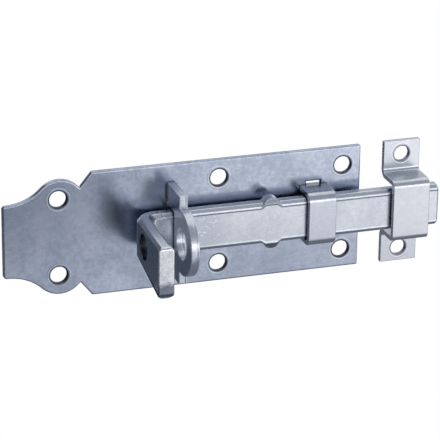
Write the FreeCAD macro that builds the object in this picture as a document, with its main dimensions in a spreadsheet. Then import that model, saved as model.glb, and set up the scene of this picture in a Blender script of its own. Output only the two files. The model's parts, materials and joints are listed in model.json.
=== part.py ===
"""Padlock bolt made of zinc-plated flat bar and sheet, as fixed to a door.

Frame: X along the throw of the bolt, Z up, Y into the door. The back of the plate lies on Y = 0,
the origin is at the middle of the plate on the axis of the bolt, and everything stands out to -Y.
"""
import math
import os

import FreeCAD
import Part
import Sketcher

# Driving dimensions in millimetres. A reach is measured outwards from the front face of the plate.
SIZES = {
    # Back plate
    "plate_length": 140.0,
    "plate_height": 49.0,
    "plate_thickness": 2.0,
    "screw_hole_diameter": 6.5,
    "screw_hole_margin": 7.3,
    "end_hole_inset": 7.2,
    "middle_hole_inset": 56.7,
    # Scalloped tail of the plate, laid out from the tail holes
    "tail_height": 28.7,
    "tail_corner": 0.8,
    "tail_land": 1.6,
    "tail_hole_inset": 21.1,
    "tail_hole_spacing": 30.0,
    "cove_radius": 18.6,
    "lobe_radius": 9.8,
    "lobe_left": 6.4,
    "lobe_left_rise": 4.8,
    "lobe_right": 8.3,
    "notch_rise": 3.8,
    "shoulder_run": 4.6,
    # Bolt and its handle
    "bolt_width": 16.5,
    "bolt_thickness": 6.0,
    "bolt_chamfer": 1.5,
    "bolt_gap": 2.7,
    "bolt_overhang": 29.4,
    "bolt_end_chamfer": 0.6,
    "bolt_clearance": 0.4,
    "bend_radius": 5.0,
    "handle_gap": 8.5,
    "handle_reach": 37.6,
    "handle_end_width": 20.8,
    "handle_droop": 3.4,
    "handle_lower_corner": 3.4,
    "handle_upper_corner": 1.2,
    "handle_hole_diameter": 10.0,
    # Stop bumps on the edges of the bolt
    "bump_to_strap": 9.8,
    "bump_length": 8.4,
    "bump_tip": 4.4,
    "bump_rise": 1.2,
    "bump_tip_radius": 4.0,
    # Padlock lug
    "lug_place": 7.1,
    "lug_thickness": 3.4,
    "lug_height": 35.0,
    "lug_shoulder_reach": 15.5,
    "lug_web": 2.75,
    "lug_rim": 6.25,
    "padlock_hole_diameter": 12.5,
    "lug_tenon_shoulder": 1.4,
    # Guide strap
    "strap_inset": 18.9,
    "strap_width": 11.0,
    "strap_thickness": 2.0,
    "strap_bend": 1.5,
    "strap_tenon_shoulder": 2.8,
    # Fit of the tenons in the plate
    "tenon_clearance": 0.15,
    "tenon_recess": 0.1,
    "strap_slot_gap": 1.3,
    # Staple
    "staple_gap": 9.5,
    "staple_width": 14.8,
    "staple_thickness": 2.0,
    "staple_flange": 10.9,
    "staple_bend": 0.6,
    "staple_foot_bend": 1.6,
    "staple_side_clearance": 2.0,
    "staple_face_clearance": 0.9,
    "staple_hole_diameter": 6.0,
}

# Places that several pieces share, as formulas of the driving dimensions.
HALF_LENGTH = "(dims.plate_length / 2)"
HALF_HEIGHT = "(dims.plate_height / 2)"
BOLT_END = f"({HALF_LENGTH} + dims.bolt_overhang)"
BOLT_FACE_REACH = "(dims.bolt_gap + dims.bolt_thickness)"
WINDOW_REACH = f"({BOLT_FACE_REACH} + dims.bolt_clearance)"
WINDOW_HALF = "(dims.bolt_width / 2 + dims.bolt_clearance)"
PADLOCK_REACH = f"({WINDOW_REACH} + dims.lug_web + dims.padlock_hole_diameter / 2)"
HANDLE_OUTER = "(dims.lug_place + dims.handle_gap + dims.bolt_thickness)"
STRAP_PLACE = f"({HALF_LENGTH} - dims.strap_inset)"
STRAP_OUTER = f"({WINDOW_HALF} + dims.strap_thickness)"
STRAP_TENON_HALF = "(dims.strap_width / 2 - dims.strap_tenon_shoulder)"
LUG_TENON_LOW = f"({WINDOW_HALF} + dims.lug_tenon_shoulder)"
LUG_TENON_HIGH = "(dims.lug_height / 2 - dims.lug_tenon_shoulder)"

doc = FreeCAD.newDocument("padbolt")
sheet = doc.addObject("Spreadsheet::Sheet", "dims")
for row, (alias, size) in enumerate(SIZES.items(), start=1):
    sheet.set(f"A{row}", alias.replace("_", " "))
    sheet.set(f"B{row}", str(size))
    sheet.setAlias(f"B{row}", alias)
doc.recompute()


def value_of(formula):
    """Give the present value of a formula of the driving dimensions."""
    return float(sheet.evalExpression(formula))


def outward(reach):
    """Give the Y formula of a reach that is measured from the front face of the plate."""
    return f"-(dims.plate_thickness + {reach})"


def new_body(label):
    """Start a sub-part."""
    body = doc.addObject("PartDesign::Body", label)
    body.Label = label
    return body


def new_sketch(body, name, plane, offset="0"):
    """Start a sketch on one of the body's own planes, moved along its normal by a formula."""
    sketch = body.newObject("Sketcher::SketchObject", name)
    for feature in body.Origin.OriginFeatures:
        if feature.Role == f"{plane}_Plane":
            sketch.AttachmentSupport = [(feature, "")]
    sketch.MapMode = "FlatFace"
    sketch.setExpression("AttachmentOffset.Base.z", offset)
    doc.recompute()
    return sketch


def pin(sketch, geometry, point, across, up):
    """Hold a point of a sketch at a place given by two formulas."""
    for kind, formula in (("DistanceX", across), ("DistanceY", up)):
        rule = Sketcher.Constraint(kind, -1, 1, geometry, point, value_of(formula))
        index = sketch.addConstraint(rule)
        sketch.setExpression(f"Constraints[{index}]", formula)


def tie_size(sketch, kind, geometry, formula):
    """Tie a radius or a diameter of a sketch to a formula."""
    index = sketch.addConstraint(Sketcher.Constraint(kind, geometry, value_of(formula)))
    sketch.setExpression(f"Constraints[{index}]", formula)


def arc_between(start, end, radius, turn):
    """Make an arc from start to end.

    Turn is 1 against the clock and -1 with it, or 2 and -2 for the long way round.
    """
    chord = end - start
    side = FreeCAD.Vector(-chord.y, chord.x, 0).normalize()
    depth = math.sqrt(radius ** 2 - (chord.Length / 2) ** 2)
    if abs(turn) == 2:
        depth = -depth
    centre = start + chord * 0.5 + side * math.copysign(1, turn) * depth
    first, last = (start, end) if turn > 0 else (end, start)
    angles = [math.atan2(point.y - centre.y, point.x - centre.x) for point in (first, last)]
    return Part.ArcOfCircle(Part.Circle(centre, FreeCAD.Vector(0, 0, 1), radius), *angles)


def draw_path(sketch, corners, closed=True):
    """Draw lines and arcs from corner to corner.

    A corner holds its two coordinates as formulas. Where an arc leaves it, it also holds the
    radius as a formula and the turn of the arc.
    """
    places = [FreeCAD.Vector(value_of(corner[0]), value_of(corner[1]), 0) for corner in corners]
    runs = len(corners) if closed else len(corners) - 1
    ends = []
    for number in range(runs):
        start = places[number]
        end = places[(number + 1) % len(corners)]
        arc = corners[number][2:]
        if not arc:
            geometry = sketch.addGeometry(Part.LineSegment(start, end))
            ends.append((geometry, 1, 2))
            continue
        radius, turn = arc
        geometry = sketch.addGeometry(arc_between(start, end, value_of(radius), turn))
        ends.append((geometry, 1, 2) if turn > 0 else (geometry, 2, 1))
        tie_size(sketch, "Radius", geometry, radius)
    for number, (geometry, start, end) in enumerate(ends):
        pin(sketch, geometry, start, *corners[number][:2])
        if closed or number + 1 < runs:
            after, after_start, _ = ends[(number + 1) % runs]
            sketch.addConstraint(Sketcher.Constraint("Coincident", geometry, end, after, after_start))
        else:
            pin(sketch, geometry, end, *corners[-1][:2])


def draw_box(sketch, low, high):
    """Draw a rectangle between two opposite corners."""
    draw_path(sketch, [low, (high[0], low[1]), high, (low[0], high[1])])


def draw_hole(sketch, across, up, diameter):
    """Draw a circle about a place given by two formulas."""
    centre = FreeCAD.Vector(value_of(across), value_of(up), 0)
    circle = Part.Circle(centre, FreeCAD.Vector(0, 0, 1), value_of(diameter) / 2)
    geometry = sketch.addGeometry(circle)
    pin(sketch, geometry, 3, across, up)
    tie_size(sketch, "Diameter", geometry, diameter)


def pad(body, name, sketch, length, reverse=False):
    """Raise a sketch into a solid."""
    feature = body.newObject("PartDesign::Pad", name)
    feature.Profile = sketch
    feature.Reversed = reverse
    feature.setExpression("Length", length)
    doc.recompute()


def pocket(body, name, sketch, length):
    """Cut a sketch into the body along the sketch's normal and make sure that it took something away."""
    before = body.Shape.Volume
    feature = body.newObject("PartDesign::Pocket", name)
    feature.Profile = sketch
    feature.Reversed = True
    feature.setExpression("Length", length)
    doc.recompute()
    if not body.Shape.Volume < before:
        raise RuntimeError(f"{name} cuts nothing")


def make_back_plate():
    """Sheet with a scalloped tail, six screw holes and four slots for the tenons."""
    body = new_body("back_plate")
    tail_end = f"-{HALF_LENGTH}"
    tail_half = "dims.tail_height / 2"
    tail_hole_x = f"({tail_end} + dims.tail_hole_inset)"
    tail_hole_z = "(dims.tail_hole_spacing / 2)"
    cove = ("dims.cove_radius", -1)
    lobe = ("dims.lobe_radius", 1)
    upper = [
        (f"{tail_hole_x} + dims.lobe_right + dims.shoulder_run", HALF_HEIGHT),
        (f"{tail_hole_x} + dims.lobe_right", f"{tail_hole_z} + dims.notch_rise"),
        (f"{tail_hole_x} - dims.lobe_left", f"{tail_hole_z} + dims.lobe_left_rise"),
        (f"{tail_end} + dims.tail_land", tail_half),
        (f"{tail_end} + dims.tail_corner", tail_half),
        (tail_end, f"{tail_half} - dims.tail_corner"),
    ]
    lower = [(across, f"-({up})") for across, up in reversed(upper)]
    upper[1] += lobe
    upper[2] += cove
    lower[2] += cove
    lower[3] += lobe
    outline = new_sketch(body, "plate_outline", "XZ")
    draw_path(outline, [(HALF_LENGTH, f"-{HALF_HEIGHT}"), (HALF_LENGTH, HALF_HEIGHT)] + upper + lower)
    pad(body, "plate_sheet", outline, "dims.plate_thickness")

    holes = new_sketch(body, "plate_holes", "XZ")
    for side in ("", "-"):
        draw_hole(holes, tail_hole_x, f"{side}{tail_hole_z}", "dims.screw_hole_diameter")
        for inset in ("dims.middle_hole_inset", "dims.end_hole_inset"):
            draw_hole(holes, f"{HALF_LENGTH} - {inset}", f"{side}({HALF_HEIGHT} - dims.screw_hole_margin)",
                      "dims.screw_hole_diameter")
    pocket(body, "plate_hole_cut", holes, "dims.plate_thickness")

    slots = new_sketch(body, "plate_slots", "XZ")
    room = "dims.tenon_clearance"
    for side in ("", "-"):
        draw_box(slots,
                 (f"{STRAP_PLACE} - {STRAP_TENON_HALF} - {room}", f"{side}({WINDOW_HALF} - {room})"),
                 (f"{STRAP_PLACE} + {STRAP_TENON_HALF} + {room}",
                  f"{side}({STRAP_OUTER} + dims.strap_slot_gap)"))
        draw_box(slots,
                 (f"-dims.lug_place - {room}", f"{side}({LUG_TENON_LOW} - {room})"),
                 (f"-dims.lug_place + dims.lug_thickness + {room}", f"{side}({LUG_TENON_HIGH} + {room})"))
    pocket(body, "plate_slot_cut", slots, "dims.plate_thickness")
    return body


def make_guide_strap():
    """Strip bent into a U over the bolt, its legs stepped down to tenons."""
    body = new_body("guide_strap")
    foot = "-dims.plate_thickness"
    inner_bend = "dims.strap_bend"
    outer_bend = "(dims.strap_bend + dims.strap_thickness)"
    inner_face = outward(WINDOW_REACH)
    outer_face = outward(f"{WINDOW_REACH} + dims.strap_thickness")
    bend_start = outward(f"{WINDOW_REACH} - dims.strap_bend")
    bend_top = f"({WINDOW_HALF} - dims.strap_bend)"
    section = new_sketch(body, "strap_section", "YZ", f"{STRAP_PLACE} - dims.strap_width / 2")
    draw_path(section, [
        (foot, WINDOW_HALF),
        (foot, STRAP_OUTER),
        (bend_start, STRAP_OUTER, outer_bend, 1),
        (outer_face, bend_top),
        (outer_face, f"-{bend_top}", outer_bend, 1),
        (bend_start, f"-{STRAP_OUTER}"),
        (foot, f"-{STRAP_OUTER}"),
        (foot, f"-{WINDOW_HALF}"),
        (bend_start, f"-{WINDOW_HALF}", inner_bend, -1),
        (inner_face, f"-{bend_top}"),
        (inner_face, bend_top, inner_bend, -1),
        (bend_start, WINDOW_HALF),
    ])
    pad(body, "strap_strip", section, "dims.strap_width")

    tenons = new_sketch(body, "strap_tenons", "XZ", "dims.plate_thickness")
    for side in ("", "-"):
        draw_box(tenons, (f"{STRAP_PLACE} - {STRAP_TENON_HALF}", f"{side}{WINDOW_HALF}"),
                 (f"{STRAP_PLACE} + {STRAP_TENON_HALF}", f"{side}{STRAP_OUTER}"))
    pad(body, "strap_tenon_pair", tenons, "dims.plate_thickness - dims.tenon_recess", reverse=True)
    return body


def make_padlock_lug():
    """Plate on edge with a round nose, a padlock hole, a window for the bolt and two tenons."""
    body = new_body("padlock_lug")
    foot = "-dims.plate_thickness"
    tenon_end = "-dims.tenon_recess"
    half = "dims.lug_height / 2"
    shoulder = outward("dims.lug_shoulder_reach")
    nose_radius = "(dims.padlock_hole_diameter / 2 + dims.lug_rim)"
    nose_half = f"sqrt({nose_radius} ^ 2 - ({PADLOCK_REACH} - dims.lug_shoulder_reach) ^ 2)"
    upper = [
        (outward(WINDOW_REACH), WINDOW_HALF),
        (foot, WINDOW_HALF),
        (foot, LUG_TENON_LOW),
        (tenon_end, LUG_TENON_LOW),
        (tenon_end, LUG_TENON_HIGH),
        (foot, LUG_TENON_HIGH),
        (foot, half),
        (shoulder, half),
        (shoulder, nose_half),
    ]
    lower = [(across, f"-{up}") for across, up in reversed(upper)]
    upper[-1] += (nose_radius, 2)
    outline = new_sketch(body, "lug_outline", "YZ", "-dims.lug_place")
    draw_path(outline, upper + lower)
    pad(body, "lug_plate", outline, "dims.lug_thickness")

    hole = new_sketch(body, "lug_hole", "YZ", "-dims.lug_place")
    draw_hole(hole, outward(PADLOCK_REACH), "0", "dims.padlock_hole_diameter")
    pocket(body, "lug_hole_cut", hole, "dims.lug_thickness")
    return body


def draw_bar_section(sketch, across, up, width):
    """Draw the section of the flat bar with its four chamfered edges.

    The bar's thickness lies along the sketch's first axis, about the middle given by across and up.
    """
    half_thickness = "dims.bolt_thickness / 2"
    half_width = f"{width} / 2"
    cut = "dims.bolt_chamfer"
    draw_path(sketch, [
        (f"{across} - {half_thickness}", f"{up} - {half_width} + {cut}"),
        (f"{across} - {half_thickness} + {cut}", f"{up} - {half_width}"),
        (f"{across} + {half_thickness} - {cut}", f"{up} - {half_width}"),
        (f"{across} + {half_thickness}", f"{up} - {half_width} + {cut}"),
        (f"{across} + {half_thickness}", f"{up} + {half_width} - {cut}"),
        (f"{across} + {half_thickness} - {cut}", f"{up} + {half_width}"),
        (f"{across} - {half_thickness} + {cut}", f"{up} + {half_width}"),
        (f"{across} - {half_thickness}", f"{up} + {half_width} - {cut}"),
    ])


def face_at_x(shape, place):
    """Name the flat face of a shape that lies across X at a place."""
    tolerance = 1e-6
    for number, face in enumerate(shape.Faces, start=1):
        box = face.BoundBox
        if abs(box.Center.x - place) + box.XLength < tolerance:
            return f"Face{number}"
    raise RuntimeError(f"no face lies across X = {place}")


def sweep_bar(body):
    """Sweep the bar along its axis and round the bend, widen the handle out of it, break its square end."""
    middle_reach = "(dims.bolt_gap + dims.bolt_thickness / 2)"
    bend_reach = f"({middle_reach} + dims.bend_radius)"
    axis_y = outward(middle_reach)
    handle_x = f"(dims.bolt_thickness / 2 - {HANDLE_OUTER})"
    path = new_sketch(body, "bar_path", "XY")
    draw_path(path, [
        (BOLT_END, axis_y),
        (f"{handle_x} + dims.bend_radius", axis_y, "dims.bend_radius", 1),
        (handle_x, outward(bend_reach)),
    ], closed=False)
    section = new_sketch(body, "bar_section", "YZ", BOLT_END)
    draw_bar_section(section, axis_y, "0", "dims.bolt_width")
    bar = body.newObject("PartDesign::AdditivePipe", "bar")
    bar.Profile = section
    bar.Spine = (path, ["Edge1", "Edge2"])
    doc.recompute()

    root = new_sketch(body, "handle_root", "XZ", f"dims.plate_thickness + {bend_reach}")
    draw_bar_section(root, handle_x, "0", "dims.bolt_width")
    end = new_sketch(body, "handle_end", "XZ", "dims.plate_thickness + dims.handle_reach")
    draw_bar_section(end, handle_x, "-dims.handle_droop", "dims.handle_end_width")
    handle = body.newObject("PartDesign::AdditiveLoft", "handle")
    handle.Profile = root
    handle.Sections = [end]
    handle.Ruled = True
    doc.recompute()

    end_break = body.newObject("PartDesign::Chamfer", "bar_end_break")
    end_break.Base = (handle, [face_at_x(handle.Shape, value_of(BOLT_END))])
    end_break.setExpression("Size", "dims.bolt_end_chamfer")
    doc.recompute()


def add_stop_bumps(body):
    """Press a rounded bump out of each long edge of the bar, flush with its face, to stop it at the lug."""
    middle = f"({STRAP_PLACE} - dims.strap_width / 2 - dims.bump_to_strap - dims.bump_length / 2)"
    root = "(dims.bolt_width / 2 - 2 * dims.bolt_chamfer)"
    base = "(dims.bolt_width / 2 - dims.bolt_chamfer)"
    tip = "(dims.bolt_width / 2 + dims.bump_rise)"
    sketch = new_sketch(body, "bump_outlines", "XZ",
                        "dims.plate_thickness + dims.bolt_gap + dims.bolt_chamfer")
    for side, turn in (("", -1), ("-", 1)):
        draw_path(sketch, [
            (f"{middle} - dims.bump_length / 2", f"{side}{root}"),
            (f"{middle} - dims.bump_length / 2", f"{side}{base}"),
            (f"{middle} - dims.bump_tip / 2", f"{side}{tip}", "dims.bump_tip_radius", turn),
            (f"{middle} + dims.bump_tip / 2", f"{side}{tip}"),
            (f"{middle} + dims.bump_length / 2", f"{side}{base}"),
            (f"{middle} + dims.bump_length / 2", f"{side}{root}"),
        ])
    pad(body, "stop_bumps", sketch, "dims.bolt_thickness - dims.bolt_chamfer")


def round_handle_corners(body):
    """Round the two outer corners of the handle, the lower one more than the upper one."""
    sketch = new_sketch(body, "handle_corners", "YZ", f"-{HANDLE_OUTER}")
    end = outward("dims.handle_reach")
    for away, back, radius, turn in (("-", "+", "dims.handle_lower_corner", 1),
                                     ("+", "-", "dims.handle_upper_corner", -1)):
        edge = f"(-dims.handle_droop {away} dims.handle_end_width / 2)"
        draw_path(sketch, [
            (end, f"{edge} {back} {radius}", radius, turn),
            (f"{end} + {radius}", edge),
            (f"{end} + {radius}", f"{edge} {away} {radius}"),
            (f"{end} - {radius}", f"{edge} {away} {radius}"),
            (f"{end} - {radius}", f"{edge} {back} {radius}"),
        ])
    pocket(body, "handle_corner_cut", sketch, "dims.bolt_thickness")


def make_bolt():
    """Chamfered flat bar, bent out to a handle that widens, with stop bumps and a padlock hole."""
    body = new_body("bolt")
    sweep_bar(body)
    add_stop_bumps(body)
    round_handle_corners(body)
    hole = new_sketch(body, "handle_hole", "YZ", f"-{HANDLE_OUTER}")
    draw_hole(hole, outward(PADLOCK_REACH), "0", "dims.handle_hole_diameter")
    pocket(body, "handle_hole_cut", hole, "dims.bolt_thickness")
    return body


def make_staple():
    """Strip bent to a hat that takes the end of the bolt, with a screw hole in each flange."""
    body = new_body("staple")
    middle = f"({HALF_LENGTH} + dims.staple_gap + dims.staple_width / 2)"
    flange_front = "-dims.staple_thickness"
    inner = "(dims.bolt_width / 2 + dims.staple_side_clearance)"
    outer = f"({inner} + dims.staple_thickness)"
    inner_reach = f"({BOLT_FACE_REACH} + dims.staple_face_clearance)"
    inner_face = outward(inner_reach)
    outer_face = outward(f"{inner_reach} + dims.staple_thickness")
    bend_start = outward(f"{inner_reach} - dims.staple_bend")
    bend_top = f"({inner} - dims.staple_bend)"
    foot_start = f"({outer} + dims.staple_foot_bend)"
    foot_end = "-(dims.staple_thickness + dims.staple_foot_bend)"
    flange_end = f"({foot_start} + dims.staple_flange)"
    inner_bend = "dims.staple_bend"
    outer_bend = "(dims.staple_bend + dims.staple_thickness)"
    inner_foot = "dims.staple_foot_bend"
    outer_foot = "(dims.staple_foot_bend + dims.staple_thickness)"
    section = new_sketch(body, "staple_section", "YZ", f"{middle} - dims.staple_width / 2")
    draw_path(section, [
        ("0", flange_end),
        (flange_front, flange_end),
        (flange_front, foot_start, inner_foot, -1),
        (foot_end, outer),
        (bend_start, outer, outer_bend, 1),
        (outer_face, bend_top),
        (outer_face, f"-{bend_top}", outer_bend, 1),
        (bend_start, f"-{outer}"),
        (foot_end, f"-{outer}", inner_foot, -1),
        (flange_front, f"-{foot_start}"),
        (flange_front, f"-{flange_end}"),
        ("0", f"-{flange_end}"),
        ("0", f"-{foot_start}", outer_foot, 1),
        (foot_end, f"-{inner}"),
        (bend_start, f"-{inner}", inner_bend, -1),
        (inner_face, f"-{bend_top}"),
        (inner_face, bend_top, inner_bend, -1),
        (bend_start, inner),
        (foot_end, inner, outer_foot, 1),
        ("0", foot_start),
    ])
    pad(body, "staple_strip", section, "dims.staple_width")

    flange_middle = f"({foot_start} + dims.staple_flange / 2)"
    holes = new_sketch(body, "staple_holes", "XZ")
    for side in ("", "-"):
        draw_hole(holes, middle, f"{side}{flange_middle}", "dims.staple_hole_diameter")
    pocket(body, "staple_hole_cut", holes, "dims.staple_thickness")
    return body


bodies = [make_back_plate(), make_guide_strap(), make_padlock_lug(), make_bolt(), make_staple()]
doc.recompute()
for thing in doc.Objects:
    if "Invalid" in thing.State or "Error" in thing.State:
        raise RuntimeError(f"{thing.Label} did not build: {thing.State}")
for body in bodies:
    if body.Shape.isNull() or not body.Shape.isValid():
        raise RuntimeError(f"{body.Label} has no valid shape")
os.makedirs("parts", exist_ok=True)
for body in bodies:
    body.Shape.exportStep(f"parts/{body.Label}.step")
    box = body.Shape.BoundBox
    print(f"{body.Label}: {box.XLength:.1f} x {box.YLength:.1f} x {box.ZLength:.1f} mm")
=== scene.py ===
# %% [markdown]
# # A zinc-plated padbolt
# A padbolt is a flat bar that slides through a strap and a lug on a plate, into a staple on the door frame.
# Its shapes are all rigid steel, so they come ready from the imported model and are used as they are.
# This lesson gives them what the model lacks: broken edges, a metal finish, a stage, light and a camera.

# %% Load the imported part
import json
import math

import bpy
from mathutils import Matrix, Vector

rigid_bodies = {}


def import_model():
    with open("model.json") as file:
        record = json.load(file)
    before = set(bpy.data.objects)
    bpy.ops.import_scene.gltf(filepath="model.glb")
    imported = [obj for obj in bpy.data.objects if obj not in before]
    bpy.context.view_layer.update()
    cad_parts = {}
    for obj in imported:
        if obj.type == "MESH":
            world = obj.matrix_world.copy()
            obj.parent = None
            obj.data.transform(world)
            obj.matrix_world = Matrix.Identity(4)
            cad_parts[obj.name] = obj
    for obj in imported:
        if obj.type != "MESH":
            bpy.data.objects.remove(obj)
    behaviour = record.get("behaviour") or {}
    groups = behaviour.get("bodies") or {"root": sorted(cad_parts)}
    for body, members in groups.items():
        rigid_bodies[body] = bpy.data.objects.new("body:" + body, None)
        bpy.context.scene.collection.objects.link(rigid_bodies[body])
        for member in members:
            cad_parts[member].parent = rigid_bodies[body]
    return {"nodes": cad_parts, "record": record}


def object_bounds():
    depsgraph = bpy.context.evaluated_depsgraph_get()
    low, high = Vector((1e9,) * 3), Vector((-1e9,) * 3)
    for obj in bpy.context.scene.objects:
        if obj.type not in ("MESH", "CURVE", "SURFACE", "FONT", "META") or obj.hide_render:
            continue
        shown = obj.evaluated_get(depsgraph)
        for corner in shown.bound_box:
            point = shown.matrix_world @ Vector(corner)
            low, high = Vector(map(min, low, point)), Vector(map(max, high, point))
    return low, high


MM = 0.001

for leftover in list(bpy.data.objects):
    bpy.data.objects.remove(leftover)
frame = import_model()
cad_low, cad_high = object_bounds()
nodes = frame["nodes"]
print("pieces:", sorted(nodes))
print("box in mm:", [round(side / MM, 1) for side in cad_high - cad_low])

# %% [markdown]
# ## Broken edges
# Nothing cut from steel has a perfectly sharp edge: the punch, the press and the plating bath leave it round.
# Those narrow rounds catch the light as thin bright or dark lines, and without them metal looks like paper.
# One could model each round, but the Bevel modifier finds every edge by its angle and leaves the mesh alone.
# The model's faces come apart at their edges and are cut into triangles, which a bevel would follow.
# So a Weld modifier joins them first, and a planar Decimate turns each flat side back into one face.
# A Weighted Normal modifier at the end keeps the large faces flat and lets only the rounds shade smoothly.

# %% Round every edge of each piece
WELD_REACH = 0.12 * MM
FLAT_ANGLE = math.radians(0.5)
EDGE_ANGLE = math.radians(25)
EDGE_SEGMENTS = 3
FLAT_WEIGHT = 100
EDGE_RADIUS = {
    "back_plate": 0.45 * MM,
    "guide_strap": 0.3 * MM,
    "padlock_lug": 0.35 * MM,
    "bolt": 0.3 * MM,
    "staple": 0.3 * MM,
}


def round_edges(piece, radius):
    """Join the faces of a piece, round its edges and smooth the rounds."""
    piece.data.shade_smooth()
    weld = piece.modifiers.new("join faces", "WELD")
    weld.merge_threshold = WELD_REACH
    flat = piece.modifiers.new("one face per flat side", "DECIMATE")
    flat.decimate_type = "DISSOLVE"
    flat.angle_limit = FLAT_ANGLE
    bevel = piece.modifiers.new("round edges", "BEVEL")
    bevel.limit_method = "ANGLE"
    bevel.angle_limit = EDGE_ANGLE
    bevel.width = radius
    bevel.segments = EDGE_SEGMENTS
    bevel.use_clamp_overlap = False
    shade = piece.modifiers.new("flat faces, smooth rounds", "WEIGHTED_NORMAL")
    shade.mode = "FACE_AREA"
    shade.weight = FLAT_WEIGHT


for name, radius in EDGE_RADIUS.items():
    round_edges(nodes[name], radius)
    print(f"{name}: edges rounded to {radius / MM:.2f} mm")

# %% [markdown]
# ## The zinc finish
# Bright zinc is a thin bluish metal skin that shows what is under it, so each piece looks a little different.
# A photograph wrapped on the model could carry that, but it would fit one view and repeat on the next piece.
# Here the finish grows from noise at real sizes, in millimetres on the piece, and moves with it.
# A finish is a tree of shader nodes, and these helpers each add a few nodes and give back their output.

# %% Noise at real sizes
def add_node(tree, kind, **settings):
    """Add a shader node and set its properties."""
    node = tree.nodes.new(kind)
    for key, value in settings.items():
        setattr(node, key, value)
    return node


def noise(tree, grain, stretch=(1, 1, 1), detail=3.0, roughness=0.55):
    """Give a noise between 0 and 1 whose blots are about grain metres across, drawn out by stretch."""
    place = add_node(tree, "ShaderNodeTexCoord")
    size = add_node(tree, "ShaderNodeMapping")
    size.inputs["Scale"].default_value = [1 / (grain * part) for part in stretch]
    field = add_node(tree, "ShaderNodeTexNoise")
    field.inputs["Scale"].default_value = 1.0
    field.inputs["Detail"].default_value = detail
    field.inputs["Roughness"].default_value = roughness
    tree.links.new(place.outputs["Object"], size.inputs["Vector"])
    tree.links.new(size.outputs["Vector"], field.inputs["Vector"])
    return field.outputs["Fac"]


print("made: add_node, noise")

# %% Ranges, sums and tints
def remap(tree, value, low, high, to_low=0.0, to_high=1.0):
    """Stretch a value from one range to another and hold it at the ends."""
    node = add_node(tree, "ShaderNodeMapRange", clamp=True, interpolation_type="SMOOTHSTEP")
    for socket, number in zip(node.inputs[1:5], (low, high, to_low, to_high)):
        socket.default_value = number
    tree.links.new(value, node.inputs["Value"])
    return node.outputs["Result"]


def calc(tree, operation, first, second=0.0):
    """Work out one operation on two values, each a number or the output of a node."""
    node = add_node(tree, "ShaderNodeMath", operation=operation)
    for socket, value in zip(node.inputs, (first, second)):
        if isinstance(value, (int, float)):
            socket.default_value = value
        else:
            tree.links.new(value, socket)
    return node.outputs["Value"]


def plus(tree, first, second):
    """Add two values."""
    return calc(tree, "ADD", first, second)


def minus(tree, first, second):
    """Take the second value from the first."""
    return calc(tree, "SUBTRACT", first, second)


def times(tree, first, second):
    """Multiply two values."""
    return calc(tree, "MULTIPLY", first, second)


def tint(tree, amount, first, second):
    """Go from one colour to another by an amount."""
    node = add_node(tree, "ShaderNodeMix", data_type="RGBA", clamp_factor=True)
    tree.links.new(amount, node.inputs["Factor"])
    for socket, colour in zip((node.inputs[6], node.inputs[7]), (first, second)):
        if isinstance(colour, tuple):
            socket.default_value = (*colour, 1.0)
        else:
            tree.links.new(colour, socket)
    return node.outputs[2]


print("made: remap, calc, plus, minus, times, tint")

# %% [markdown]
# ### Where a point lies
# A mark of wear or of a tool has its own place on the piece, so the finish has to know where each point lies.
# A map unwrapped from the mesh could tell, but every piece would have to be unwrapped by hand first.
# Object coordinates need no map: they give the place in the piece's own frame, in metres.

# %% Places on a piece
FRONT_MATCH = (-0.85, -0.95)


def places(tree):
    """Give the x, y and z of a point on its piece."""
    place = add_node(tree, "ShaderNodeTexCoord")
    parts = add_node(tree, "ShaderNodeSeparateXYZ")
    tree.links.new(place.outputs["Object"], parts.inputs["Vector"])
    return parts.outputs["X"], parts.outputs["Y"], parts.outputs["Z"]


def facing_front(tree):
    """Give 1 on faces that look straight out of the door and 0 on those that turn away."""
    facing = add_node(tree, "ShaderNodeTexCoord")
    parts = add_node(tree, "ShaderNodeSeparateXYZ")
    tree.links.new(facing.outputs["Normal"], parts.inputs["Vector"])
    return remap(tree, parts.outputs["Y"], *FRONT_MATCH)


def distance(tree, keep, centre):
    """Give the distance from a centre, measured along the axes to keep."""
    place = add_node(tree, "ShaderNodeTexCoord")
    flat = add_node(tree, "ShaderNodeVectorMath", operation="MULTIPLY")
    flat.inputs[1].default_value = keep
    tree.links.new(place.outputs["Object"], flat.inputs[0])
    away = add_node(tree, "ShaderNodeVectorMath", operation="DISTANCE")
    away.inputs[1].default_value = centre
    tree.links.new(flat.outputs["Vector"], away.inputs[0])
    return away.outputs["Value"]


print("made: places, facing_front, distance")

# %% Bands across a piece
def apart(tree, value, middle=0.0):
    """Give how far a value is from a middle, on either side."""
    return calc(tree, "ABSOLUTE", minus(tree, value, middle))


def band(tree, value, middle, half):
    """Give 1 where a value is at the middle of a band, falling to 0 at its sides."""
    rise = remap(tree, value, middle - half, middle)
    fall = remap(tree, value, middle + half, middle)
    return times(tree, rise, fall)


print("made: apart, band")

# %% [markdown]
# ### Worn edges, painted highlight and painted shade
# Handling polishes the edges of plated steel; they are painted pale, partly as wear and partly as painted
# highlight.
# Corners and slits are darkened as painted shade, where little light reaches.
# Both could be painted by hand, but two shader nodes find the places on any shape.
# The Bevel node finds the edges, because its rounded normal turns away from the plain one there.
# The Ambient Occlusion node finds the corners, because other faces close in on them.

# %% Worn edges with painted highlight, and painted shade in corners
PALE_ZINC = (0.86, 0.88, 0.93)
# Dark steel, also the colour of painted shade in corners, hole rims and slots.
DARK_STEEL_AND_SHADE = (0.09, 0.10, 0.135)
# Pale edges are partly wear and partly painted highlight.
WEAR_AND_HIGHLIGHT_REACH = 0.45 * MM
WEAR_AND_HIGHLIGHT_MATCH = (0.995, 0.85)
# Painted shade in corners and slits, found by ambient occlusion.
CORNER_SHADE_REACH = 2.2 * MM
CORNER_SHADE_OPENNESS = (0.78, 0.34)


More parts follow.
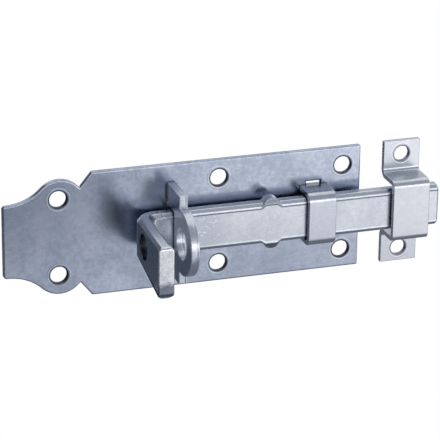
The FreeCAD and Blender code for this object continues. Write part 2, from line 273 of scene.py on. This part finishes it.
def worn_and_highlit_edges(tree):
    """Give 1 on the edges of a piece, where hands and parts rub and a highlight is painted, and 0 on its
    faces.
    """
    rounded = add_node(tree, "ShaderNodeBevel", samples=6)
    rounded.inputs["Radius"].default_value = WEAR_AND_HIGHLIGHT_REACH
    plain = add_node(tree, "ShaderNodeNewGeometry")
    match = add_node(tree, "ShaderNodeVectorMath", operation="DOT_PRODUCT")
    tree.links.new(rounded.outputs["Normal"], match.inputs[0])
    tree.links.new(plain.outputs["Normal"], match.inputs[1])
    return remap(tree, match.outputs["Value"], *WEAR_AND_HIGHLIGHT_MATCH)


def painted_corner_shade(tree):
    """Give 1 in narrow corners and slits, where shade is painted, and 0 on open faces."""
    shade = add_node(tree, "ShaderNodeAmbientOcclusion", samples=8)
    shade.inputs["Distance"].default_value = CORNER_SHADE_REACH
    return remap(tree, shade.outputs["AO"], *CORNER_SHADE_OPENNESS)


print(f"wear reaches {WEAR_AND_HIGHLIGHT_REACH / MM:.2f} mm from an edge, grime {CORNER_SHADE_REACH / MM:.1f} mm from a corner")

# %% [markdown]
# ### Marks of the punch
# A punch tears the wall of a screw hole and leaves it dull and dark, with a small pale burr round the rim.
# The dark of the wall is partly painted shade, and the pale of the burr is partly painted highlight.
# The rims of the slots in the plate that hold the strap are darkened as painted shade.
# Each hole could be given by hand, but the mounts that come with the part tell where the screws go.
# The marks are found from them, and follow if they change.
# A mark is a function that changes the colour and the height of the finish at its own place.

# %% Screw holes
MOUNTS = {mount["name"]: mount for mount in frame["record"]["mounts"]}
ACROSS_AND_UP = (1, 0, 1)


def hole_places(mount):
    """List the x and z of each screw hole of a mount."""
    x, _, z = mount["pos_m"]
    across = mount["dims"].get("spacing_x_mm", 0) * MM / 2
    upward = mount["dims"]["spacing_y_mm"] * MM / 2
    columns = (-across, across) if across else (0,)
    return [(x + column, z + row) for column in columns for row in (-upward, upward)]


def rim_distance(tree, mounts):
    """Give the distance from the rim of the nearest screw hole."""
    nearest = None
    for mount in mounts:
        radius = mount["dims"]["hole_r_mm"] * MM
        for x, z in hole_places(mount):
            rim = minus(tree, distance(tree, ACROSS_AND_UP, (x, 0, z)), radius)
            nearest = rim if nearest is None else calc(tree, "MINIMUM", nearest, rim)
    return nearest


for name, mount in MOUNTS.items():
    if name.endswith("screws"):
        print(f"{name}: {len(hole_places(mount))} holes")

# %% Burrs and walls of the screw holes
BURR_PLACE = 1.1 * MM
BURR_HALF = 0.4 * MM
BURR_HEIGHT = 0.03 * MM
# The burr's pale tint is partly painted highlight, the dark of the wall partly painted shade.
BURR_PALE_AND_HIGHLIGHT = 0.22
WALL_AND_SHADE_START = 0.8 * MM
WALL_AND_SHADE_END = 0.42 * MM


def punched_and_shaded_holes(names, wall_and_shade):
    """Darken the walls of some mounts' screw holes, partly as painted shade, and raise a pale burr round
    each.
    """
    mounts = [MOUNTS[name] for name in names]

    def dress(tree, colour, height):
        rim = rim_distance(tree, mounts)
        burr = band(tree, rim, BURR_PLACE, BURR_HALF)
        # Pale burr, partly a painted highlight.
        colour = tint(tree, times(tree, burr, BURR_PALE_AND_HIGHLIGHT), colour, PALE_ZINC)
        # Dark wall and rim, partly dull steel and partly painted shade.
        colour = tint(tree, remap(tree, rim, WALL_AND_SHADE_START, WALL_AND_SHADE_END), colour, wall_and_shade)
        return colour, plus(tree, height, times(tree, burr, BURR_HEIGHT))

    return dress


print(f"burrs {BURR_HEIGHT / MM:.2f} mm high, {BURR_PLACE / MM:.1f} mm from the rims")

# %% Slots of the strap
SLOT_X = 51.1 * MM
SLOT_Z = 10.22 * MM
SLOT_HALF_WIDTH = 2.85 * MM
SLOT_HALF_HEIGHT = 1.73 * MM
# How far the painted shade reaches round the slots.
SLOT_SHADE_START = 0.5 * MM
SLOT_SHADE_END = 0.3 * MM


def painted_slot_shade(tree, colour, height):
    """Paint shade on the rims of the two slots that hold the strap, one above the axis and one below."""
    x, _, z = places(tree)
    across = minus(tree, apart(tree, x, SLOT_X), SLOT_HALF_WIDTH)
    upward = minus(tree, apart(tree, apart(tree, z), SLOT_Z), SLOT_HALF_HEIGHT)
    rim = calc(tree, "MAXIMUM", across, upward)
    # Painted shade round the slots' rims.
    dark = remap(tree, rim, SLOT_SHADE_START, SLOT_SHADE_END)
    return tint(tree, dark, colour, DARK_STEEL_AND_SHADE), height


print(f"slots at x = {SLOT_X / MM:.1f} mm, {SLOT_Z / MM:.1f} mm off the axis")

# %% [markdown]
# ### Marks of the rolls
# The rolls that break the edges of the bar push up a fine lip and a bead beside each chamfer.
# The lower ones are worn to half their height.
# Lip and chamfer run round the stop bumps, which are pressed out of the bar's two edges.
# The lips are less than half a millimetre high, so a height in the finish is enough, without new faces.

# %% Lips along the bar
CHAMFER_FOOT = 6.75 * MM
LIP_WIDTH = 0.95 * MM
LIP_HEIGHT = 0.19 * MM
BEAD_WIDTH = 0.6 * MM
BEAD_HEIGHT = 0.24 * MM
LOWER_SHARE = 0.5
LIP_FADE = 1 * MM
BAR_START = -11 * MM
STOP_PLACE = 31.6 * MM
STOP_HALF = 4.2 * MM
STOP_TIP_HALF = 2.0 * MM
STOP_RISE = 1.2 * MM


def bar_edge(tree):
    """Give the distance from the stop bumps along the bar, and from its axis less the rise of the bumps."""
    x, _, z = places(tree)
    from_stop = apart(tree, x, STOP_PLACE)
    rise = remap(tree, from_stop, STOP_HALF, STOP_TIP_HALF, 0.0, STOP_RISE)
    return from_stop, minus(tree, apart(tree, z), rise)


def rolled_lips(tree, colour, height):
    """Raise a fine lip and a bead beside each chamfer of the bar."""
    x, _, z = places(tree)
    _, edge = bar_edge(tree)
    lip = remap(tree, edge, CHAMFER_FOOT - LIP_WIDTH, CHAMFER_FOOT, 0.0, LIP_HEIGHT)
    bead = remap(tree, edge, CHAMFER_FOOT, CHAMFER_FOOT + BEAD_WIDTH, 0.0, BEAD_HEIGHT)
    on_bar = remap(tree, x, BAR_START - LIP_FADE, BAR_START)
    left_by_wear = remap(tree, z, -LIP_FADE, LIP_FADE, LOWER_SHARE, 1.0)
    lip = times(tree, plus(tree, lip, bead), times(tree, on_bar, left_by_wear))
    return colour, plus(tree, height, lip)


print(f"lips {CHAMFER_FOOT / MM:.2f} mm off the axis, {LIP_HEIGHT / MM:.2f} mm high")

# %% Chamfer round the stop bumps
STOP_FADE = 0.2 * MM


def stop_slopes(tree, colour, height):
    """Let the face of each stop bump fall away outside the lip, as the chamfer does on the bar."""
    from_stop, edge = bar_edge(tree)
    past_foot = calc(tree, "MAXIMUM", minus(tree, edge, CHAMFER_FOOT), 0.0)
    on_stop = remap(tree, from_stop, STOP_HALF + STOP_FADE, STOP_HALF)
    slope = times(tree, past_foot, times(tree, on_stop, facing_front(tree)))
    return colour, minus(tree, height, slope)


print(f"stop bumps at x = {STOP_PLACE / MM:.1f} mm")

# %% [markdown]
# ### Marks on the handle
# The shear that cuts the bar to length leaves the handle's end coarse and bright. Its low corner is made
# darker, in ragged blotches.
# The wall of the handle's padlock hole is made dark.
# Both could have a material of their own, but a soft change inside one finish leaves no seam.

# %% Sheared end of the handle
SHEARED_END = cad_low.y + 0.4 * MM
END_FADE = 0.5 * MM
TORN_GRAIN = 1.3 * MM
TORN_RANGE = (0.36, 0.6)
TORN_DULL = (0.74, 0.78, 0.86)
TORN_BRIGHT = (0.95, 0.96, 0.98)
TORN_DEPTH = 0.06 * MM
HANDLE_LOW = -6.8 * MM
LOW_FADE = 3 * MM
LOW_RAGGED = 4 * MM
LOW_AMOUNT = 0.85
LOW_DARK = (0.13, 0.16, 0.23)


def sheared_end(tree, colour, height):
    """Make the end of the handle coarse and blotched, as the shear leaves it, and dark at its low corner."""
    _, y, z = places(tree)
    end = remap(tree, y, SHEARED_END + END_FADE, SHEARED_END)
    grains = noise(tree, TORN_GRAIN, detail=4.0, roughness=0.7)
    torn = tint(tree, remap(tree, grains, *TORN_RANGE), TORN_DULL, TORN_BRIGHT)
    ragged_z = plus(tree, z, times(tree, grains, LOW_RAGGED))
    low = remap(tree, ragged_z, HANDLE_LOW + LOW_FADE, HANDLE_LOW)
    torn = tint(tree, times(tree, low, LOW_AMOUNT), torn, LOW_DARK)
    coarse = times(tree, times(tree, grains, end), TORN_DEPTH)
    return tint(tree, end, colour, torn), plus(tree, height, coarse)


print(f"sheared end at y = {SHEARED_END / MM:.1f} mm")

# %% Padlock hole of the handle
BORE = MOUNTS["handle_padlock_hole"]
BORE_CENTRE = (0, *BORE["pos_m"][1:])
BORE_WALL = (BORE["dims"]["r_mm"] + 0.3) * MM
BORE_FADE = 0.2 * MM
BORE_DARK = (0.13, 0.145, 0.18)
OUT_AND_UP = (0, 1, 1)


def dark_bore(tree, colour, height):
    """Darken the wall of the padlock hole in the handle."""
    inside = remap(tree, distance(tree, OUT_AND_UP, BORE_CENTRE), BORE_WALL, BORE_WALL - BORE_FADE)
    return tint(tree, inside, colour, BORE_DARK), height


print(f"padlock hole dark out to {BORE_WALL / MM:.1f} mm from its axis")

# %% [markdown]
# ### Knocks beside the lug
# A padlock that hangs in the lug swings against the bar and pits its face with pale knocks.
# The same patch is darkened as painted shade from the lug.
# Pits could be set one by one, but noise at the size of a knock scatters them without a pattern.
# They are kept to a round patch, on the face that looks out of the door.

# %% Knocks on the bar
KNOCKS_X = 5 * MM
KNOCKS_Z = 0.5 * MM
KNOCKS_REACH = 11 * MM
KNOCKS_CORE = 0.4 * KNOCKS_REACH
KNOCK_SIZE = 1.3 * MM
KNOCK_RANGE = (0.54, 0.70)
KNOCK_DEPTH = 0.03 * MM
KNOCK_SHINE = 0.75
# The patch's darker tone is painted shade from the lug.
LUG_SHADE_ZINC = (0.48, 0.52, 0.61)
LUG_SHADE_AMOUNT = 0.5


def knocks(tree, colour, height):
    """Darken the face beside the lug as painted shade and pit it with small pale knocks."""
    from_middle = distance(tree, ACROSS_AND_UP, (KNOCKS_X, 0, KNOCKS_Z))
    patch = times(tree, remap(tree, from_middle, KNOCKS_REACH, KNOCKS_CORE), facing_front(tree))
    pits = times(tree, remap(tree, noise(tree, KNOCK_SIZE), *KNOCK_RANGE), patch)
    # Painted shade from the lug over a round patch of the bar.
    colour = tint(tree, times(tree, patch, LUG_SHADE_AMOUNT), colour, LUG_SHADE_ZINC)
    colour = tint(tree, times(tree, pits, KNOCK_SHINE), colour, PALE_ZINC)
    return colour, minus(tree, height, times(tree, pits, KNOCK_DEPTH))


print(f"knocks within {KNOCKS_REACH / MM:.0f} mm of x = {KNOCKS_X / MM:.0f} mm")

# %% [markdown]
# ### Break line of the lug
# A press cuts part of the way through a thick sheet, and the rest breaks off.
# The line between the two parts runs round the rim of the lug.
# A groove in the mesh would need a ring of new faces, and a height in the finish looks the same at this size.

# %% Break line
BREAK_PLACE = -4.7 * MM
BREAK_HALF = 0.45 * MM
BREAK_DEPTH = 0.12 * MM


def break_line(tree, colour, height):
    """Score the rim of the lug where the press stopped cutting and the steel broke off."""
    x, _, _ = places(tree)
    line = band(tree, x, BREAK_PLACE, BREAK_HALF)
    return colour, minus(tree, height, times(tree, line, BREAK_DEPTH))


print(f"break line at x = {BREAK_PLACE / MM:.1f} mm")

# %% [markdown]
# ### The plating
# Zinc settles in soft clouds, over the finer mottles of the steel, with pale specks and faint rub marks.
# The same pattern drives the gloss: where the zinc is brighter it is also smoother.
# The press draws the sheet over at its edges, in a soft roll that is wider than the rounds made above.
# A wider bevel would eat into the holes and slots, so the Bevel node only shades the roll.
# One function lays the plating, and each piece gives its own colours, gloss, dents and tool marks.

# %% Clouds, mottles, rub marks and specks
CLOUD_SIZE = 15 * MM
CLOUD_RANGE = (0.36, 0.64)
MOTTLE_SIZE = 2.2 * MM
RUB_SIZE = 0.4 * MM
RUB_STRETCH = (16, 1, 1)
RUB_RANGE = (0.58, 0.74)
RUB_SHINE = 0.25
SPECK_SIZE = 0.55 * MM
SPECK_RANGE = (0.62, 0.74)
GRAIN_DEPTH = 0.002 * MM


def plating(tree, dull, bright, dents, speckle):
    """Give the colour, the height and the cloudiness of plating with dents of a depth and pale specks."""
    clouds = noise(tree, CLOUD_SIZE)
    mottles = noise(tree, MOTTLE_SIZE, detail=4.0, roughness=0.65)
    rubs = noise(tree, RUB_SIZE, stretch=RUB_STRETCH, detail=2.0)
    specks = noise(tree, SPECK_SIZE, detail=1.0)
    cloudiness = times(tree, plus(tree, clouds, mottles), 0.5)
    colour = tint(tree, remap(tree, cloudiness, *CLOUD_RANGE), dull, bright)
    colour = tint(tree, remap(tree, rubs, *RUB_RANGE, 0.0, RUB_SHINE), colour, PALE_ZINC)
    colour = tint(tree, remap(tree, specks, *SPECK_RANGE, 0.0, speckle), colour, PALE_ZINC)
    grain = times(tree, plus(tree, rubs, specks), GRAIN_DEPTH)
    height = plus(tree, grain, times(tree, mottles, dents))
    return colour, height, cloudiness


print(f"clouds of {CLOUD_SIZE / MM:.0f} mm, mottles of {MOTTLE_SIZE / MM:.1f} mm")

# %% Wiring of a finish
FINE_ROLL = 0.4 * MM
# How pale the edges are painted, partly as wear and partly as highlight.
WEAR_AND_HIGHLIGHT_AMOUNT = 0.45
# How dark the painted shade in corners gets.
CORNER_SHADE_AMOUNT = 0.85
GLOSS_RANGE = (0.3, 0.7)
GLOSS_SPREAD = 0.04


def relief(tree, height, roll):
    """Give the normal of a finish with a height in metres, on edges that are rolled over by a radius."""
    rolled = add_node(tree, "ShaderNodeBevel", samples=8)
    rolled.inputs["Radius"].default_value = roll
    bump = add_node(tree, "ShaderNodeBump")
    bump.inputs["Distance"].default_value = 1.0
    tree.links.new(rolled.outputs["Normal"], bump.inputs["Normal"])
    tree.links.new(height, bump.inputs["Height"])
    return bump.outputs["Normal"]


def zinc(name, dull, bright, sheen, dents, speckle, marks=(), roll=FINE_ROLL):
    """Make a piece's zinc finish: plating, worn and highlit edges, its own marks and painted corner shade."""
    material = bpy.data.materials.new(name)
    material.use_nodes = True
    tree = material.node_tree
    colour, height, cloudiness = plating(tree, dull, bright, dents, speckle)
    # Painted highlight and wear: edges tinted pale.
    colour = tint(tree, times(tree, worn_and_highlit_edges(tree), WEAR_AND_HIGHLIGHT_AMOUNT), colour, PALE_ZINC)
    for mark in marks:
        colour, height = mark(tree, colour, height)
    # Painted shade: corners and slits darkened where little light reaches.
    colour = tint(tree, times(tree, painted_corner_shade(tree), CORNER_SHADE_AMOUNT), colour, DARK_STEEL_AND_SHADE)
    gloss = remap(tree, cloudiness, *GLOSS_RANGE, sheen + GLOSS_SPREAD, sheen - GLOSS_SPREAD)
    shader = tree.nodes["Principled BSDF"]
    shader.inputs["Metallic"].default_value = 1.0
    tree.links.new(colour, shader.inputs["Base Color"])
    tree.links.new(gloss, shader.inputs["Roughness"])
    tree.links.new(relief(tree, height, roll), shader.inputs["Normal"])
    return material


print(f"edges rolled over by {FINE_ROLL / MM:.1f} mm where a piece gives no roll of its own")

# %% One finish per piece
PLATE_ROLL = 0.9 * MM
# The staple's hole walls: dull steel, partly painted shade.
DULL_STEEL_AND_SHADE = (0.26, 0.28, 0.34)
FINISHES = {
    "back_plate": zinc(
        "plate_finish", dull=(0.38, 0.435, 0.55), bright=(0.53, 0.58, 0.70), sheen=0.22,
        dents=0.010 * MM, speckle=0.12, roll=PLATE_ROLL,
        marks=[punched_and_shaded_holes(["plate_screws", "tail_screws"], DARK_STEEL_AND_SHADE), painted_slot_shade],
    ),
    "guide_strap": zinc(
        "strap_finish", dull=(0.56, 0.60, 0.68), bright=(0.64, 0.67, 0.75), sheen=0.26,
        dents=0.008 * MM, speckle=0.12,
    ),
    "padlock_lug": zinc(
        "lug_finish", dull=(0.60, 0.64, 0.73), bright=(0.74, 0.77, 0.84), sheen=0.30,
        dents=0.05 * MM, speckle=0.3, marks=[break_line],
    ),
    "bolt": zinc(
        "bar_finish", dull=(0.58, 0.62, 0.70), bright=(0.69, 0.72, 0.79), sheen=0.26,
        dents=0.016 * MM, speckle=0.35,
        marks=[rolled_lips, stop_slopes, knocks, sheared_end, dark_bore],
    ),
    "staple": zinc(
        "staple_finish", dull=(0.62, 0.65, 0.72), bright=(0.68, 0.71, 0.78), sheen=0.26,
        dents=0.006 * MM, speckle=0.08, marks=[punched_and_shaded_holes(["staple_screws"], DULL_STEEL_AND_SHADE)],
    ),
}
for name, material in FINISHES.items():
    nodes[name].data.materials.clear()
    nodes[name].data.materials.append(material)

# %% [markdown]
# ## The stage
# Metal shows its surroundings, so the surroundings are half of the finish.
# A photographer would lay a roll of white paper, and a white floor under an even white world does the same.
# They give a clean ground and let each colour come out as it is written.

# %% Floor
FLOOR_DROP = 0.6
FLOOR_HALF = 12.0
FLOOR_CORNERS = ((-1, -1), (1, -1), (1, 1), (-1, 1))


def add_sheet(name, corners, material):
    """Add a flat four-cornered sheet for the stage."""
    mesh = bpy.data.meshes.new(name)
    mesh.from_pydata(corners, [], [(0, 1, 2, 3)])
    mesh.materials.append(material)
    sheet = bpy.data.objects.new(name, mesh)
    bpy.context.scene.collection.objects.link(sheet)
    return sheet


def matt_white(name):
    """Make a matt white paint for the stage."""
    material = bpy.data.materials.new(name)
    material.use_nodes = True
    shader = material.node_tree.nodes["Principled BSDF"]
    shader.inputs["Base Color"].default_value = (1.0, 1.0, 1.0, 1.0)
    shader.inputs["Roughness"].default_value = 1.0
    shader.inputs["Specular IOR Level"].default_value = 0.0
    return material


floor_z = cad_low.z - FLOOR_DROP
floor_corners = [(FLOOR_HALF * x, FLOOR_HALF * y, floor_z) for x, y in FLOOR_CORNERS]
add_sheet("floor", floor_corners, matt_white("floor_white"))
print(f"floor {FLOOR_DROP / MM:.0f} mm under the part")

# %% [markdown]
# ## Cards
# In an all-white room bright metal goes flat, because every face mirrors the same white.
# A photographer stands grey and black cards round it, and each face then mirrors a tone of its own.
# The cards here show only in reflections: the camera looks through them and the floor keeps its light.
# They glow in an even tone, so that no lamp changes it, and the dark ones lean to the zinc's own blue.

# %% How a card is made
CARD_POWERS = (1.08, 1.02, 0.92)


def card_colour(tone):
    """Give the colour of a tone, a little bluer as it gets darker."""
    return (*(tone ** power for power in CARD_POWERS), 1.0)


def card_paint(name, tone):
    """Make a paint that glows in an even tone."""
    material = bpy.data.materials.new(name)
    material.use_nodes = True
    tree = material.node_tree
    tree.nodes.clear()
    glow = add_node(tree, "ShaderNodeEmission")
    glow.inputs["Color"].default_value = card_colour(tone)
    out = add_node(tree, "ShaderNodeOutputMaterial")
    tree.links.new(glow.outputs["Emission"], out.inputs["Surface"])
    return material


def add_card(name, first, along, up, tone):
    """Stand a card with one corner at first and its sides along and up, seen in reflections alone."""
    corner = Vector(first)
    side = Vector(along)
    rise = Vector(up)
    corners = [corner, corner + side, corner + side + rise, corner + rise]
    card = add_sheet(name, corners, card_paint(name, tone))
    card.visible_camera = False
    card.visible_diffuse = False
    card.visible_shadow = False
    return card


print("a dark card's colour:", [round(part, 3) for part in card_colour(0.2)])

# %% Cards on the left
LEFT_SIDE = -0.18
LEFT_FOOT = -0.5
LEFT_HEIGHT = 0.8
# Each card goes from one y to another and has a tone.
LEFT_CARDS = {
    "left_front_card": (-0.9, -0.14, 0.035),
    "left_card": (-0.14, 0.08, 0.2),
    "left_back_card": (0.08, 0.9, 0.035),
}

for name, (start, end, tone) in LEFT_CARDS.items():
    add_card(name, (LEFT_SIDE, start, LEFT_FOOT), (0, end - start, 0), (0, 0, LEFT_HEIGHT), tone)
    print(f"{name}: tone {tone}")

# %% Cards along the part
SPAN_START = -0.6
SPAN = 1.6
FRONT = -0.3
BACK = 0.4
ROOF = 0.25
ROOF_JOINT = -0.06
# Each card goes from one y and z to another and has a tone.
LONG_CARDS = {
    "top_front_card": ((FRONT, ROOF), (ROOF_JOINT, ROOF), 0.4),
    "top_back_card": ((ROOF_JOINT, ROOF), (BACK, ROOF), 0.95),
    "front_upper_card": ((FRONT, 0.08), (FRONT, ROOF), 0.42),
    "back_card": ((BACK, 0.0), (BACK, ROOF), 0.55),
    "low_card": ((-0.22, -0.2), (0.48, -0.2), 0.2),
}

for name, ((y, z), (end_y, end_z), tone) in LONG_CARDS.items():
    add_card(name, (SPAN_START, y, z), (SPAN, 0, 0), (0, end_y - y, end_z - z), tone)
    print(f"{name}: tone {tone}")

# %% [markdown]
# ### The graded card
# The faces that look out of the door all mirror the card in front of them, each a part of its own.
# An even card would make plate and bar one flat grey, and a lamp's fall-off would be hard to steer.
# So this card has two rows of tones, a low one and a high one, and goes smoothly from one to the other.

# %% Graded card in front
GRADE_LEFT = -0.15
GRADE_RIGHT = 0.30
# The tone at each x.
LOW_TONES = {-0.12: 0.06, -0.02: 0.58, 0.05: 0.80, 0.08: 0.82, 0.14: 0.62, 0.21: 0.80, 0.29: 0.9}
HIGH_TONES = {-0.12: 0.05, 0.0: 0.28, 0.05: 0.42, 0.085: 0.95, 0.12: 1.05, 0.19: 1.15, 0.25: 1.25}
LOW_ROW = -0.150
HIGH_ROW = -0.098
GRADED_CORNER = (-0.18, FRONT, -0.4)
GRADED_WIDTH = 0.9
GRADED_HEIGHT = 0.38


def tone_row(tree, x, tones):
    """Give the colours of a row of tones along x."""
    across = add_node(tree, "ShaderNodeMapRange", clamp=True)
    across.inputs["From Min"].default_value = GRADE_LEFT
    across.inputs["From Max"].default_value = GRADE_RIGHT
    tree.links.new(x, across.inputs["Value"])
    ramp = add_node(tree, "ShaderNodeValToRGB")
    stops = ramp.color_ramp.elements
    while len(stops) < len(tones):
        stops.new(0.5)
    for stop, (place, tone) in zip(stops, tones.items()):
        stop.position = (place - GRADE_LEFT) / (GRADE_RIGHT - GRADE_LEFT)
        stop.color = card_colour(tone)
    tree.links.new(across.outputs["Result"], ramp.inputs["Fac"])
    return ramp.outputs["Color"]


graded = add_card("graded_card", GRADED_CORNER, (GRADED_WIDTH, 0, 0), (0, 0, GRADED_HEIGHT), 1.0)
graded_tree = graded.data.materials[0].node_tree
graded_x, _, graded_z = places(graded_tree)
low_colours = tone_row(graded_tree, graded_x, LOW_TONES)
high_colours = tone_row(graded_tree, graded_x, HIGH_TONES)
row_mix = remap(graded_tree, graded_z, LOW_ROW, HIGH_ROW)
graded_colour = tint(graded_tree, row_mix, low_colours, high_colours)
graded_tree.links.new(graded_colour, graded_tree.nodes["Emission"].inputs["Color"])
print(f"graded card: {len(LOW_TONES)} low tones and {len(HIGH_TONES)} high tones")

# %% [markdown]
# ## Light
# The even world is the fill.
# One long soft lamp in front, just over the graded card, gives the edges their glint.
# A small hard lamp would glint too, but in points and not in the long lines that show a whole edge.

# %% World and lamp
LAMP_PLACE = Vector((0.14, FRONT, 0.03))
LAMP_AIM = Vector((0.14, 0.0, 0.03))
LAMP_WIDTH = 0.5
LAMP_HEIGHT = 0.09
LAMP_GLOW = 1.15

world = bpy.data.worlds.new("white_room")
world.use_nodes = True
background = world.node_tree.nodes["Background"]
background.inputs["Color"].default_value = (1.0, 1.0, 1.0, 1.0)
background.inputs["Strength"].default_value = 1.0
bpy.context.scene.world = world

lamp = bpy.data.lights.new("soft_lamp", "AREA")
lamp.shape = "RECTANGLE"
lamp.size = LAMP_WIDTH
lamp.size_y = LAMP_HEIGHT
# This power makes the lamp's face as bright as the glow times white.
lamp.energy = LAMP_GLOW * math.pi * LAMP_WIDTH * LAMP_HEIGHT
holder = bpy.data.objects.new("soft_lamp", lamp)
holder.location = LAMP_PLACE
holder.rotation_euler = (LAMP_AIM - LAMP_PLACE).to_track_quat("-Z", "Y").to_euler()
holder.visible_camera = False
bpy.context.scene.collection.objects.link(holder)
print(f"white world, lamp of {lamp.energy:.3f} W")

# %% [markdown]
# ## Camera
# The photograph was taken with a long lens, from the left and above, so its edges stay nearly parallel.
# A camera could be turned by eye until it looks right, but an error of a degree shows in every edge.
# The angles, the distance and the small roll were found by fitting the plate's corners and holes.

# %% Camera at the photograph's angle
AZIMUTH = math.radians(-18.439)
ELEVATION = math.radians(21.352)
ROLL = math.radians(0.685)
DISTANCE = 942.5 * MM
TARGET = Vector((13.93 * MM, -2.0 * MM, 0.07 * MM))
IMAGE_PIXELS = 440
FOCAL_PIXELS = 2500
SENSOR_WIDTH = 36.0

level = Vector((math.cos(AZIMUTH), math.sin(AZIMUTH), 0.0))
outward = Vector((math.sin(AZIMUTH), -math.cos(AZIMUTH), 0.0))
back = outward * math.cos(ELEVATION) + Vector((0.0, 0.0, math.sin(ELEVATION)))
upright = back.cross(level)
right = level * math.cos(ROLL) + upright * math.sin(ROLL)
up = upright * math.cos(ROLL) - level * math.sin(ROLL)
turn = Matrix((right, up, back)).transposed().to_4x4()

lens = bpy.data.cameras.new("camera")
lens.sensor_width = SENSOR_WIDTH
lens.lens = SENSOR_WIDTH * FOCAL_PIXELS / IMAGE_PIXELS
camera = bpy.data.objects.new("camera", lens)
camera.matrix_world = Matrix.Translation(TARGET + back * DISTANCE) @ turn
bpy.context.scene.collection.objects.link(camera)
bpy.context.scene.camera = camera
print(f"lens {lens.lens:.1f} mm, camera at", [round(part, 3) for part in camera.location])

# %% [markdown]
# ## Colour view
# The Standard view shows the colours as they are written.

# %% Standard view
bpy.context.scene.view_settings.view_transform = "Standard"
